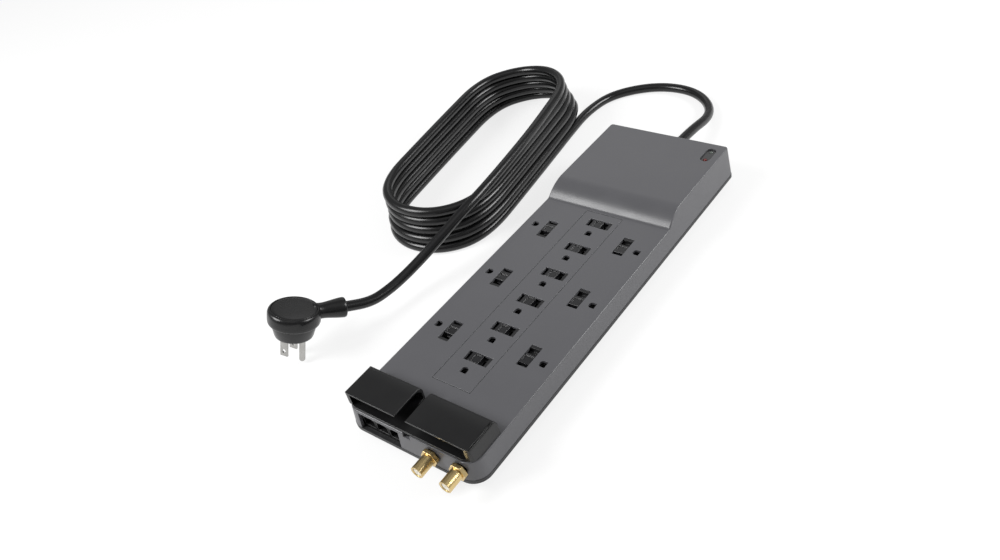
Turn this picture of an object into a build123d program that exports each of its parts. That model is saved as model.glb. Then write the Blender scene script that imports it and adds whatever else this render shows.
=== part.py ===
from build123d import *
import math
import os

os.makedirs("parts", exist_ok=True)

# Body, in millimetres: +Z up, +Y towards the raised electronics end, floor at Z = 0.
BODY_LENGTH = 361.0
BODY_WIDTH = 116.6
SKIRT_BOTTOM = 12.0
DECK_TOP = 28.0
HUMP_TOP = 38.0
WALL = 2.4
DECK_THICKNESS = 2.0
DRAFT = 5.7
FRONT_CORNER = 13.0
REAR_CORNER = 5.0
HUMP_START = 72.0
HUMP_END = 96.0
HUMP_BEND = 0.12
FRONT_Y = -BODY_LENGTH / 2
REAR_Y = BODY_LENGTH / 2
DECK_UNDER = DECK_TOP - DECK_THICKNESS
HUMP_UNDER = HUMP_TOP - DECK_THICKNESS

# Base pan.
BASE_BOTTOM = 2.4
BASE_FLOOR = 4.8
BASE_RIM_LOW = 9.0
RIM_INSET = -0.2
JACK_OPENING_LOW = 11.0
JACK_OPENING_TOP = 25.9
FOOT_INSET = 6.5
FOOT_DIAMETER = 12.0

# Outlets, to the North American 15 A pattern.
BLADE_SPACING = 12.7
GROUND_OFFSET = 11.9
SLOT_LENGTH = 8.0
SLOT_WIDTH = 2.2
WINDOW_LENGTH = 20.2
WINDOW_WIDTH = 8.9
WINDOW_SHIFT = 2.1
BLADE_LINE_SHIFT = 0.9
CENTER_PITCH = 32.3
CENTER_FIRST = 59.0
SIDE_PITCH = 63.5
SIDE_FIRST = 40.2
SIDE_X = 34.5
PANEL_WIDTH = 33.6
PANEL_FRONT = -131.0
PANEL_GAP = 0.35

# Sliding shutters: a plate under the deck with a grip block in the window.
SHUTTER_TRAVEL = 4.6
PLATE_THICKNESS = 1.1
PLATE_GAP = 0.2
BLOCK_TOP = 24.3
PLATE_BOTTOM = BLOCK_TOP + PLATE_GAP
GRIP_START = -7.05
GRIP_END = 2.5
FIXED_STOP_START = 7.6
GRIP_TOP = DECK_TOP - 0.3

# Cord and plug.
CORD_DIAMETER = 8.6
CORD_PITCH = 8.7
COIL_TURNS = 5
COIL_HEIGHT = COIL_TURNS * CORD_PITCH
RELIEF_Z = 19.0
RELIEF_BORE = CORD_DIAMETER
PLUG_DIAMETER = 40.0
PLUG_AT = (-148.6, -142.6, 24.4)
PLUG_AXIS = (0.109, 0.343, 0.933)
PLUG_BOOT_DIRECTION = (0.404, 0.842, -0.357)
PRONG_TURN = 50.0


def body_plan(inset):
    """Plan outline of the body, moved inwards by the given inset."""
    outline = Rectangle(BODY_WIDTH - 2 * inset, BODY_LENGTH - 2 * inset)
    outline = fillet(outline.vertices().group_by(Axis.Y)[0], FRONT_CORNER - inset)
    return fillet(outline.vertices().group_by(Axis.Y)[-1], max(REAR_CORNER - inset, 1.2))


def above_profile(deck, hump, shift):
    """Everything above the deck and the raised end, as a Y-Z outline."""
    bend_y = HUMP_START + shift + HUMP_BEND * (HUMP_END - HUMP_START)
    bend_z = deck + HUMP_BEND * (hump - deck)
    with BuildLine() as edge:
        deck_line = Line((-220, deck), (HUMP_START + shift, deck))
        low_arc = TangentArc(deck_line @ 1, (bend_y, bend_z), tangent=(1, 0))
        high_arc = TangentArc(low_arc @ 1, (HUMP_END + shift, hump), tangent=low_arc % 1)
        Polyline(high_arc @ 1, (220, hump), (220, 70), (-220, 70), (-220, deck))
    return make_face(edge.line)


def drafted(inset, top):
    """Drafted block of the cover from the skirt bottom up to a height."""
    base = Plane.XY.offset(SKIRT_BOTTOM) * body_plan(inset)
    return extrude(base, amount=top - SKIRT_BOTTOM, taper=DRAFT)


def outlet_spots():
    """Slot centre, turn about Z and name of each outlet's column."""
    spots = []
    for row in range(6):
        y = CENTER_FIRST - row * CENTER_PITCH - BLADE_LINE_SHIFT
        spots.append(("center", 0.0, y, 0.0))
    for row in range(3):
        spots.append(("left", -SIDE_X, SIDE_FIRST - row * SIDE_PITCH, -90.0))
    for row in range(3):
        spots.append(("right", SIDE_X, SIDE_FIRST - row * SIDE_PITCH, 90.0))
    return spots


SPOTS = outlet_spots()
CENTER_SPOTS = [Location((x, y, 0), (0, 0, turn)) for name, x, y, turn in SPOTS if name == "center"]
LEFT_SPOTS = [Location((x, y, 0), (0, 0, turn)) for name, x, y, turn in SPOTS if name == "left"]
RIGHT_SPOTS = [Location((x, y, 0), (0, 0, turn)) for name, x, y, turn in SPOTS if name == "right"]
ALL_SPOTS = CENTER_SPOTS + LEFT_SPOTS + RIGHT_SPOTS

# One outlet's outlines: X runs along the window, -Y towards the ground hole.
WINDOW_Y = BLADE_LINE_SHIFT
WINDOW = Pos(WINDOW_SHIFT, WINDOW_Y) * Rectangle(WINDOW_LENGTH, WINDOW_WIDTH)
GROUND_HOLE = Pos(0, -GROUND_OFFSET) * (
    Circle(2.75) + Pos(0, -1.375) * Rectangle(5.5, 2.75)
)
BLADE_SLOTS = Pos(-BLADE_SPACING / 2, 0) * Rectangle(SLOT_WIDTH, SLOT_LENGTH)
BLADE_SLOTS += Pos(BLADE_SPACING / 2, 0) * Rectangle(SLOT_WIDTH, SLOT_LENGTH - 1)


def at_spots(spots, outline):
    """The outline repeated at each outlet."""
    result = spots[0] * outline
    for spot in spots[1:]:
        result += spot * outline
    return result


BOSS_SPOTS = [(x, y) for x in (-21.3, 21.3) for y in (-140.0, -20.5)] + [(-48.0, 100.0), (48.0, 100.0)]
BOSS_DIAMETER = 6.6
PILOT_DIAMETER = 2.6
COAX_X = (21.5, 45.0)
COAX_Z = 21.0
BARREL_DIAMETER = 9.4
JACK_X = (-38.4, -26.2, -14.0)
JACK_WIDTH = 11.6
LED_X = 45.6
LED_Y = 161.8
LED_SLOT_LENGTH = 18.5
LED_SLOT_WIDTH = 8.5
BUTTON_X = 32.0
BUTTON_Z = 25.0
BUTTON_DIAMETER = 8.0
PANEL_REAR = HUMP_START - 0.6
PANEL_LENGTH = PANEL_REAR - PANEL_FRONT
PANEL_Y = (PANEL_REAR + PANEL_FRONT) / 2

BODY_OUTLINE = body_plan(0)
FOOT_OUTLINE = body_plan(FOOT_INSET)
RIM_OUTLINE = body_plan(RIM_INSET)
LIP_OUTLINE = body_plan(WALL + 0.6)
FLOOR_OUTLINE = body_plan(FOOT_INSET + 1.5)
HOLLOW_OUTLINE = body_plan(WALL + 2.0)
DECK_OUTLINE = body_plan(2.4)
ABOVE_DECK = above_profile(DECK_TOP, HUMP_TOP, 0)
SIDE_WINDOWS = at_spots(LEFT_SPOTS + RIGHT_SPOTS, WINDOW)
SIDE_GROUNDS = at_spots(LEFT_SPOTS + RIGHT_SPOTS, GROUND_HOLE)
CENTER_WINDOWS = at_spots(CENTER_SPOTS, WINDOW)
CENTER_GROUNDS = at_spots(CENTER_SPOTS, GROUND_HOLE)

CAVITY = drafted(WALL, HUMP_UNDER) - extrude(
    Plane.YZ * above_profile(DECK_UNDER, HUMP_UNDER, 0.9), amount=BODY_WIDTH, both=True
)

with BuildPart() as top_cover:
    with BuildSketch(Plane.XY.offset(SKIRT_BOTTOM)):
        add(BODY_OUTLINE)
    extrude(amount=HUMP_TOP - SKIRT_BOTTOM, taper=DRAFT)
    with BuildSketch(Plane.YZ):
        add(ABOVE_DECK)
    extrude(amount=BODY_WIDTH, both=True, mode=Mode.SUBTRACT)
    add(CAVITY, mode=Mode.SUBTRACT)
    # Screw bosses hang from the ceiling, down to the posts of the base.
    with BuildSketch(Plane.XY.offset(7.0)):
        with Locations(BOSS_SPOTS[:4]):
            Circle(BOSS_DIAMETER / 2)
    extrude(amount=DECK_UNDER - 7.0 + 0.5)
    with BuildSketch(Plane.XY.offset(7.0)):
        with Locations(BOSS_SPOTS[4:]):
            Circle(BOSS_DIAMETER / 2)
    extrude(amount=HUMP_UNDER - 7.0 + 0.5)
    with BuildSketch(Plane.XY.offset(7.0)):
        with Locations(BOSS_SPOTS):
            Circle(PILOT_DIAMETER / 2)
    extrude(amount=14.0, mode=Mode.SUBTRACT)
    # Opening for the centre panel.
    with BuildSketch(Plane.XY.offset(DECK_UNDER - 1)):
        with Locations((0, PANEL_Y)):
            Rectangle(PANEL_WIDTH, PANEL_LENGTH)
    extrude(amount=4.0, mode=Mode.SUBTRACT)
    # Side outlets: shutter windows and ground holes.
    with BuildSketch(Plane.XY.offset(DECK_UNDER - 1)):
        add(SIDE_WINDOWS)
        add(SIDE_GROUNDS)
    extrude(amount=4.0, mode=Mode.SUBTRACT)
    # Indicator slot in the raised end.
    with BuildSketch(Plane.XY.offset(HUMP_UNDER - 1)):
        with Locations((LED_X, LED_Y)):
            SlotOverall(LED_SLOT_LENGTH, LED_SLOT_WIDTH, rotation=90)
    extrude(amount=4.0, mode=Mode.SUBTRACT)
    # Front wall: phone jack opening, coax holes and the pry notch.
    with BuildSketch(Plane.XZ.offset(-FRONT_Y + 3)):
        with Locations((JACK_X[1], (JACK_OPENING_LOW + JACK_OPENING_TOP) / 2)):
            Rectangle(JACK_X[2] - JACK_X[0] + JACK_WIDTH + 0.8, JACK_OPENING_TOP - JACK_OPENING_LOW)
        with Locations((COAX_X[0], COAX_Z), (COAX_X[1], COAX_Z)):
            Circle(BARREL_DIAMETER / 2 + 0.15)
    extrude(amount=-12.0, mode=Mode.SUBTRACT)
    with BuildSketch(Plane.XY.offset(24.5)):
        with Locations((0, FRONT_Y + 2)):
            Rectangle(6.0, 4.0)
    extrude(amount=6.0, mode=Mode.SUBTRACT)
    # Rear wall: cord bushing and reset button.
    with BuildSketch(Plane.XZ.offset(-REAR_Y + 8)):
        with Locations((0, RELIEF_Z)):
            Circle(6.5)
        with Locations((BUTTON_X, BUTTON_Z)):
            Circle(BUTTON_DIAMETER / 2 + 0.25)
    extrude(amount=-12.0, mode=Mode.SUBTRACT)
    # Holes for the posts of the cord clip.
    with BuildSketch(Plane.XY.offset(DECK_UNDER - 1)):
        with Locations((-32, -156.0), (32, -156.0)):
            Circle(2.0)
    extrude(amount=4.0, mode=Mode.SUBTRACT)
top_cover.part.label = "top_cover"
export_step(top_cover.part, "parts/top_cover.step")

with BuildPart() as outlet_panel:
    with BuildSketch(Plane.XY.offset(DECK_UNDER)):
        with Locations((0, PANEL_Y)):
            Rectangle(PANEL_WIDTH - 2 * PANEL_GAP, PANEL_LENGTH - 2 * PANEL_GAP)
    extrude(amount=DECK_THICKNESS)
    # The flange seats against the underside of the deck.
    with BuildSketch(Plane.XY.offset(DECK_UNDER)):
        with Locations((0, PANEL_Y)):
            Rectangle(PANEL_WIDTH + 2.4, PANEL_LENGTH + 2.0)
            Rectangle(PANEL_WIDTH - 1.6, PANEL_LENGTH - 2.0, mode=Mode.SUBTRACT)
    extrude(amount=-1.0)
    with BuildSketch(Plane.XY.offset(DECK_UNDER - 1)):
        add(CENTER_WINDOWS)
        add(CENTER_GROUNDS)
    extrude(amount=4.0, mode=Mode.SUBTRACT)
outlet_panel.part.label = "outlet_panel"
export_step(outlet_panel.part, "parts/outlet_panel.step")

KEYHOLE_Y = 118.0
RIB_X = (13.0, 40.0)
with BuildPart() as base_pan:
    with BuildSketch(Plane.XY.offset(BASE_BOTTOM)):
        add(FOOT_OUTLINE)
    with BuildSketch(Plane.XY.offset(BASE_RIM_LOW)):
        add(RIM_OUTLINE)
    loft(ruled=True)
    with BuildSketch(Plane.XY.offset(BASE_RIM_LOW)):
        add(RIM_OUTLINE)
    extrude(amount=SKIRT_BOTTOM - BASE_RIM_LOW)
    with BuildSketch(Plane.XY.offset(SKIRT_BOTTOM)):
        add(LIP_OUTLINE)
    extrude(amount=1.8)
    with BuildSketch(Plane.XY.offset(BASE_FLOOR)):
        add(FLOOR_OUTLINE)
    with BuildSketch(Plane.XY.offset(BASE_RIM_LOW + 1)):
        add(HOLLOW_OUTLINE)
    loft(ruled=True, mode=Mode.SUBTRACT)
    with BuildSketch(Plane.XY.offset(BASE_RIM_LOW + 1)):
        add(HOLLOW_OUTLINE)
    extrude(amount=10.0, mode=Mode.SUBTRACT)
    # Posts under the screw bosses.
    with BuildSketch(Plane.XY.offset(BASE_FLOOR)):
        with Locations(BOSS_SPOTS):
            Circle(BOSS_DIAMETER / 2)
    extrude(amount=7.0 - BASE_FLOOR)
    # Ribs carry the outlet blocks and the circuit boards.
    with BuildSketch(Plane.XY.offset(BASE_FLOOR)):
        for rib_x in (-45.0, -30.0, -8.0, 8.0, 30.0, 45.0):
            with Locations((rib_x, -25.0)):
                Rectangle(1.6, 140.0)
    extrude(amount=8.0 - BASE_FLOOR)
    with BuildSketch(Plane.XY.offset(BASE_FLOOR)):
        with Locations((-44, 116), (44, 116), (-40, 160), (-12, 160), (44, 160)):
            Circle(3.0)
    extrude(amount=15.0 - BASE_FLOOR)
    with BuildSketch(Plane.XY.offset(BASE_FLOOR)):
        with Locations((-42, -166), (-10, -166), (-42, -150), (-10, -150)):
            Circle(2.5)
    extrude(amount=10.0 - BASE_FLOOR)
    # Screw passages with head recesses from below.
    with BuildSketch(Plane.XY):
        with Locations(BOSS_SPOTS):
            Circle(1.7)
    extrude(amount=8.0, mode=Mode.SUBTRACT)
    with BuildSketch(Plane.XY):
        with Locations(BOSS_SPOTS):
            Circle(3.1)
    extrude(amount=BASE_FLOOR - 0.2, mode=Mode.SUBTRACT)
    # The lip is relieved behind the phone jacks and under the cord bushing.
    with BuildSketch(Plane.XY.offset(SKIRT_BOTTOM - 0.8)):
        with Locations((JACK_X[1], FRONT_Y + 6)):
            Rectangle(JACK_X[2] - JACK_X[0] + JACK_WIDTH + 1.0, 6.0)
        with Locations((0, REAR_Y - 5)):
            Rectangle(17.0, 5.0)
    extrude(amount=6.0, mode=Mode.SUBTRACT)
    # Shallow seats of the four feet.
    with BuildSketch(Plane.XY):
        with GridLocations(84, 320, 2, 2):
            Circle(FOOT_DIAMETER / 2 + 0.1)
    extrude(amount=BASE_BOTTOM + 0.6, mode=Mode.SUBTRACT)
    # Two keyholes for hanging the strip on a wall.
    with BuildSketch(Plane.XY):
        with Locations((0, KEYHOLE_Y), (0, -KEYHOLE_Y)):
            Circle(4.5)
        with Locations((0, KEYHOLE_Y + 5), (0, -KEYHOLE_Y + 5)):
            SlotOverall(14.0, 4.6, rotation=90)
    extrude(amount=BASE_FLOOR + 1, mode=Mode.SUBTRACT)
base_pan.part.label = "base_pan"
export_step(base_pan.part, "parts/base_pan.step")

with BuildPart() as cover_screws:
    with BuildSketch(Plane.XY.offset(2.6)):
        with Locations(BOSS_SPOTS):
            Circle(2.8)
    extrude(amount=2.0)
    with BuildSketch(Plane.XY.offset(4.6)):
        with Locations(BOSS_SPOTS):
            Circle(1.45)
    extrude(amount=12.0)
    with BuildSketch(Plane.XY.offset(2.6)):
        with Locations(BOSS_SPOTS):
            Rectangle(3.4, 0.7)
            Rectangle(0.7, 3.4)
    extrude(amount=1.1, mode=Mode.SUBTRACT)
cover_screws.part.label = "cover_screws"
export_step(cover_screws.part, "parts/cover_screws.step")

with BuildPart() as rubber_feet:
    with BuildSketch(Plane.XY):
        with GridLocations(84, 320, 2, 2):
            Circle(FOOT_DIAMETER / 2)
    extrude(amount=BASE_BOTTOM + 0.6)
rubber_feet.part.label = "rubber_feet"
export_step(rubber_feet.part, "parts/rubber_feet.step")

PLATE_OUTLINE = Pos(WINDOW_SHIFT + (GRIP_END - 15.3) / 2, WINDOW_Y) * Rectangle(GRIP_END + 15.3, 11.6)
PLATE_OPENING = Pos(WINDOW_SHIFT + (GRIP_START - 10.9) / 2, WINDOW_Y) * Rectangle(GRIP_START + 10.9, 8.4)
GRIP_OUTLINE = Pos(WINDOW_SHIFT + (GRIP_START + GRIP_END) / 2, WINDOW_Y) * Rectangle(
    GRIP_END - GRIP_START, WINDOW_WIDTH - 0.5
)
DISH_OUTLINE = Pos(WINDOW_SHIFT - 1.85, WINDOW_Y) * Rectangle(4.9, WINDOW_WIDTH - 2.0)

for number, spot in enumerate(ALL_SPOTS, start=1):
    with BuildPart() as shutter:
        with BuildSketch(Plane.XY.offset(PLATE_BOTTOM)):
            add(spot * (PLATE_OUTLINE - PLATE_OPENING))
        extrude(amount=PLATE_THICKNESS)
        with BuildSketch(Plane.XY.offset(PLATE_BOTTOM)):
            add(spot * GRIP_OUTLINE)
        extrude(amount=GRIP_TOP - PLATE_BOTTOM)
        with BuildSketch(Plane.XY.offset(GRIP_TOP - 0.9)):
            add(spot * DISH_OUTLINE)
        extrude(amount=2.0, mode=Mode.SUBTRACT)
    shutter.part.label = f"outlet_shutter_{number:02d}"
    export_step(shutter.part, f"parts/outlet_shutter_{number:02d}.step")

BLOCK_BOTTOM = 8.0
STOP_OUTLINE = Pos(WINDOW_SHIFT + (FIXED_STOP_START + 9.9) / 2, WINDOW_Y) * Rectangle(
    9.9 - FIXED_STOP_START, WINDOW_WIDTH - 0.5
)
CLIP_POCKETS = Pos(-BLADE_SPACING / 2, 0) * Rectangle(6.0, 9.6)
CLIP_POCKETS += Pos(BLADE_SPACING / 2, 0) * Rectangle(6.0, 9.6)
GROUND_RING = 3.6
GROUND_POCKET = Pos(0, -GROUND_OFFSET) * Circle(GROUND_RING + 0.3)
POCKET_TOP = 21.8


def socket_block(spots, width, length, x, y):
    """Moulded block with blade slots, ground bores and contact pockets."""
    block = Pos(x, y, BLOCK_BOTTOM) * Box(
        width, length, BLOCK_TOP - BLOCK_BOTTOM, align=(Align.CENTER, Align.CENTER, Align.MIN)
    )
    block += extrude(Plane.XY.offset(BLOCK_TOP) * at_spots(spots, STOP_OUTLINE), amount=GRIP_TOP - BLOCK_TOP)
    block -= extrude(Plane.XY.offset(BLOCK_BOTTOM) * at_spots(spots, BLADE_SLOTS), amount=20)
    block -= extrude(Plane.XY.offset(BLOCK_BOTTOM) * at_spots(spots, GROUND_HOLE), amount=20)
    block -= extrude(
        Plane.XY.offset(BLOCK_BOTTOM) * at_spots(spots, CLIP_POCKETS), amount=POCKET_TOP - BLOCK_BOTTOM
    )
    block -= extrude(
        Plane.XY.offset(BLOCK_BOTTOM) * at_spots(spots, GROUND_POCKET), amount=POCKET_TOP - BLOCK_BOTTOM
    )
    return block


CENTER_LENGTH = 196.0
CENTER_Y = -29.0
SIDE_LENGTH = 158.0
SIDE_BLOCK_Y = SIDE_FIRST - SIDE_PITCH
SIDE_BLOCK_X = 39.2
SIDE_BLOCK_WIDTH = 25.6
BAR_X = (-BLADE_SPACING / 2, 0.0, BLADE_SPACING / 2)

CENTER_BLOCK = socket_block(CENTER_SPOTS, 31.0, CENTER_LENGTH, 0, CENTER_Y)
LEFT_BLOCK = socket_block(LEFT_SPOTS, SIDE_BLOCK_WIDTH, SIDE_LENGTH, -SIDE_BLOCK_X, SIDE_BLOCK_Y)
RIGHT_BLOCK = socket_block(RIGHT_SPOTS, SIDE_BLOCK_WIDTH, SIDE_LENGTH, SIDE_BLOCK_X, SIDE_BLOCK_Y)

with BuildPart() as socket_block_center:
    add(CENTER_BLOCK)
    # Channels for the three bus bars.
    with BuildSketch(Plane.XY.offset(BLOCK_BOTTOM)):
        with Locations(*[(bar_x, CENTER_Y) for bar_x in BAR_X]):
            Rectangle(3.4, CENTER_LENGTH + 2)
    extrude(amount=2.0, mode=Mode.SUBTRACT)
socket_block_center.part.label = "socket_block_center"
export_step(socket_block_center.part, "parts/socket_block_center.step")

SIDE_BARS = (SIDE_X - 4.2, SIDE_X + 4.2, SIDE_X + GROUND_OFFSET)
with BuildPart() as socket_block_left:
    add(LEFT_BLOCK)
    with BuildSketch(Plane.XY.offset(BLOCK_BOTTOM)):
        with Locations(*[(-bar_x, SIDE_BLOCK_Y) for bar_x in SIDE_BARS]):
            Rectangle(2.4, SIDE_LENGTH + 2)
    extrude(amount=2.0, mode=Mode.SUBTRACT)
socket_block_left.part.label = "socket_block_left"
export_step(socket_block_left.part, "parts/socket_block_left.step")

with BuildPart() as socket_block_right:
    add(RIGHT_BLOCK)
    with BuildSketch(Plane.XY.offset(BLOCK_BOTTOM)):
        with Locations(*[(bar_x, SIDE_BLOCK_Y) for bar_x in SIDE_BARS]):
            Rectangle(2.4, SIDE_LENGTH + 2)
    extrude(amount=2.0, mode=Mode.SUBTRACT)
socket_block_right.part.label = "socket_block_right"
export_step(socket_block_right.part, "parts/socket_block_right.step")


def contact_set(side):
    """Two-leaf contact clips of one blade side, at all outlets, on their bus bars."""
    leaves = Rectangle(0.5, 7.0)
    clip = extrude(Pos(side * BLADE_SPACING / 2 - 1.15, 0) * leaves, amount=11.0)
    clip += extrude(Pos(side * BLADE_SPACING / 2 + 1.15, 0) * leaves, amount=11.0)
    clip += extrude(Pos(side * BLADE_SPACING / 2, 0) * Rectangle(2.8, 8.6), amount=0.8)
    solids = [Pos(0, 0, BLOCK_BOTTOM + 1.1) * (spot * clip) for spot in ALL_SPOTS]
    bar = Box(2.8, CENTER_LENGTH - 8, 0.8, align=(Align.CENTER, Align.CENTER, Align.MIN))
    result = Pos(side * BLADE_SPACING / 2, CENTER_Y, BLOCK_BOTTOM + 0.3) * bar
    side_bar = Box(1.8, SIDE_LENGTH - 8, 0.8, align=(Align.CENTER, Align.CENTER, Align.MIN))
    bar_x = SIDE_BARS[0] if side < 0 else SIDE_BARS[1]
    for sign in (-1, 1):
        result += Pos(sign * bar_x, SIDE_BLOCK_Y, BLOCK_BOTTOM + 0.3) * side_bar
    for solid in solids:
        result += solid
    return result


NEUTRAL_SET = contact_set(-1)
LINE_SET = contact_set(1)

with BuildPart() as neutral_contacts:
    add(NEUTRAL_SET)
neutral_contacts.part.label = "neutral_contacts"
export_step(neutral_contacts.part, "parts/neutral_contacts.step")

with BuildPart() as line_contacts:
    add(LINE_SET)
line_contacts.part.label = "line_contacts"
export_step(line_contacts.part, "parts/line_contacts.step")

GROUND_SPOTS = [(spot * Pos(0, -GROUND_OFFSET, 0)).position for spot in ALL_SPOTS]
with BuildPart() as ground_contacts:
    with BuildSketch(Plane.XY.offset(BLOCK_BOTTOM + 1.1)):
        with Locations(*[(spot.X, spot.Y) for spot in GROUND_SPOTS]):
            Circle(GROUND_RING)
            Circle(GROUND_RING - 0.5, mode=Mode.SUBTRACT)
    extrude(amount=11.0)
    with BuildSketch(Plane.XY.offset(BLOCK_BOTTOM + 0.3)):
        with Locations((0, CENTER_Y)):
            Rectangle(2.8, CENTER_LENGTH - 8)
        with Locations((-SIDE_BARS[2], SIDE_BLOCK_Y), (SIDE_BARS[2], SIDE_BLOCK_Y)):
            Rectangle(1.8, SIDE_LENGTH - 8)
        with Locations(*[(spot.X, spot.Y) for spot in GROUND_SPOTS]):
            Circle(GROUND_RING)
    extrude(amount=0.8)
ground_contacts.part.label = "ground_contacts"
export_step(ground_contacts.part, "parts/ground_contacts.step")

# Electronics under the raised end.
BOARD_Z = 15.0
BOARD_TOP = BOARD_Z + 1.6
with BuildPart() as surge_board:
    with BuildSketch(Plane.XY.offset(BOARD_Z)):
        with Locations((0, 140)):
            RectangleRounded(102, 62, 2)
        with Locations((0, 170)):
            Rectangle(26, 30, mode=Mode.SUBTRACT)
    extrude(amount=1.6)
surge_board.part.label = "surge_board"
export_step(surge_board.part, "parts/surge_board.step")

with BuildPart() as varistors:
    for varistor_x in (-38.0, -26.0, -14.0):
        with BuildSketch(Plane.XZ.offset(-124)):
            with Locations((varistor_x, BOARD_TOP + 8.2)):
                Circle(5.2)
            with Locations((varistor_x - 2.5, BOARD_TOP + 3), (varistor_x + 2.5, BOARD_TOP + 3)):
                Rectangle(0.8, 6.0)
        extrude(amount=3.0)
        with BuildSketch(Plane.XZ.offset(-132)):
            with Locations((varistor_x, BOARD_TOP + 8.2)):
                Circle(5.2)
            with Locations((varistor_x - 2.5, BOARD_TOP + 3), (varistor_x + 2.5, BOARD_TOP + 3)):
                Rectangle(0.8, 6.0)
        extrude(amount=3.0)
varistors.part.label = "varistors"
export_step(varistors.part, "parts/varistors.step")

with BuildPart() as thermal_fuse:
    with BuildSketch(Plane.YZ.offset(-41)):
        with Locations((139, BOARD_TOP + 2.0)):
            Circle(2.0)
    extrude(amount=30.0)
thermal_fuse.part.label = "thermal_fuse"
export_step(thermal_fuse.part, "parts/thermal_fuse.step")

with BuildPart() as filter_choke:
    with BuildSketch(Plane.XY.offset(BOARD_TOP)):
        with Locations((6, 126)):
            Circle(10.0)
            Circle(4.5, mode=Mode.SUBTRACT)
    extrude(amount=9.0)
filter_choke.part.label = "filter_choke"
export_step(filter_choke.part, "parts/filter_choke.step")

with BuildPart() as filter_capacitor:
    with BuildSketch(Plane.XY.offset(BOARD_TOP)):
        with Locations((30, 122)):
            RectangleRounded(18, 9, 1)
    extrude(amount=13.0)
filter_capacitor.part.label = "filter_capacitor"
export_step(filter_capacitor.part, "parts/filter_capacitor.step")

with BuildPart() as circuit_breaker:
    with BuildSketch(Plane.XY.offset(BOARD_TOP)):
        with Locations((BUTTON_X - 3, 158.0)):
            Rectangle(15, 24)
    extrude(amount=15.0)
circuit_breaker.part.label = "circuit_breaker"
export_step(circuit_breaker.part, "parts/circuit_breaker.step")

BUTTON_TRAVEL = 2.0
FLANGE_Y = 173.9
with BuildPart() as reset_button:
    with BuildSketch(Plane.XZ.offset(-FLANGE_Y)):
        with Locations((BUTTON_X, BUTTON_Z)):
            Circle(BUTTON_DIAMETER / 2 + 1)
    extrude(amount=-1.6)
    with BuildSketch(Plane.XZ.offset(-FLANGE_Y)):
        with Locations((BUTTON_X, BUTTON_Z)):
            Circle(BUTTON_DIAMETER / 2)
    extrude(amount=-8.8)
    with BuildSketch(Plane.XZ.offset(-FLANGE_Y)):
        with Locations((BUTTON_X, BUTTON_Z)):
            Circle(1.5)
    extrude(amount=1.0)
reset_button.part.label = "reset_button"
export_step(reset_button.part, "parts/reset_button.step")

with BuildPart() as status_window:
    with BuildSketch(Plane.XY.offset(HUMP_UNDER)):
        with Locations((LED_X, LED_Y)):
            SlotOverall(LED_SLOT_LENGTH - 0.3, LED_SLOT_WIDTH - 0.3, rotation=90)
    extrude(amount=0.7)
    with BuildSketch(Plane.XY.offset(HUMP_UNDER - 1.2)):
        with Locations((LED_X, LED_Y)):
            SlotOverall(LED_SLOT_LENGTH + 2.4, LED_SLOT_WIDTH + 2.0, rotation=90)
    extrude(amount=1.2)
    with BuildSketch(Plane.XY.offset(HUMP_UNDER - 2)):
        with Locations((LED_X, LED_Y + 5.6), (LED_X, LED_Y - 5.6)):
            Circle(1.65)
    extrude(amount=4.0, mode=Mode.SUBTRACT)
status_window.part.label = "status_window"
export_step(status_window.part, "parts/status_window.step")

with BuildPart() as protected_led:
    with BuildSketch(Plane.XY.offset(BOARD_TOP)):
        with Locations((LED_X - 1.27, LED_Y + 5.6), (LED_X + 1.27, LED_Y + 5.6)):
            Rectangle(0.6, 0.6)
    extrude(amount=17.0)
    with BuildSketch(Plane.XY.offset(BOARD_TOP + 16.0)):
        with Locations((LED_X, LED_Y + 5.6)):
            Circle(1.5)
    extrude(amount=3.6)
    with Locations((LED_X, LED_Y + 5.6, BOARD_TOP + 19.6)):
        Sphere(1.5)
protected_led.part.label = "protected_led"
export_step(protected_led.part, "parts/protected_led.step")

with BuildPart() as ground_led:
    with BuildSketch(Plane.XY.offset(BOARD_TOP)):
        with Locations((LED_X - 1.27, LED_Y - 5.6), (LED_X + 1.27, LED_Y - 5.6)):
            Rectangle(0.6, 0.6)
    extrude(amount=17.0)
    with BuildSketch(Plane.XY.offset(BOARD_TOP + 16.0)):
        with Locations((LED_X, LED_Y - 5.6)):
            Circle(1.5)
    extrude(amount=3.6)
    with Locations((LED_X, LED_Y - 5.6, BOARD_TOP + 19.6)):
        Sphere(1.5)
ground_led.part.label = "ground_led"
export_step(ground_led.part, "parts/ground_led.step")

# Phone and coax line protection at the front.
PHONE_Z = 10.0
with BuildPart() as phone_board:
    with BuildSketch(Plane.XY.offset(PHONE_Z)):
        with Locations((-26, -159.2)):
            Rectangle(50, 29.0)
    extrude(amount=1.6)
phone_board.part.label = "phone_board"
export_step(phone_board.part, "parts/phone_board.step")

JACK_FRONT = FRONT_Y + 3.4
JACK_DEPTH = 16.0
for number, jack_x in enumerate(JACK_X, start=1):
    with BuildPart() as jack:
        with BuildSketch(Plane.XY.offset(PHONE_Z + 1.6)):
            with Locations((jack_x, JACK_FRONT + JACK_DEPTH / 2)):
                Rectangle(JACK_WIDTH, JACK_DEPTH)
        extrude(amount=14.0)
        with BuildSketch(Plane.XZ.offset(-JACK_FRONT)):
            with Locations((jack_x, 17.4)):
                Rectangle(9.6, 6.8)
            with Locations((jack_x, 22.2)):
                Rectangle(6.2, 3.6)
        extrude(amount=-13.0, mode=Mode.SUBTRACT)
    jack.part.label = f"phone_jack_{number}"
    export_step(jack.part, f"parts/phone_jack_{number}.step")

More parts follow.
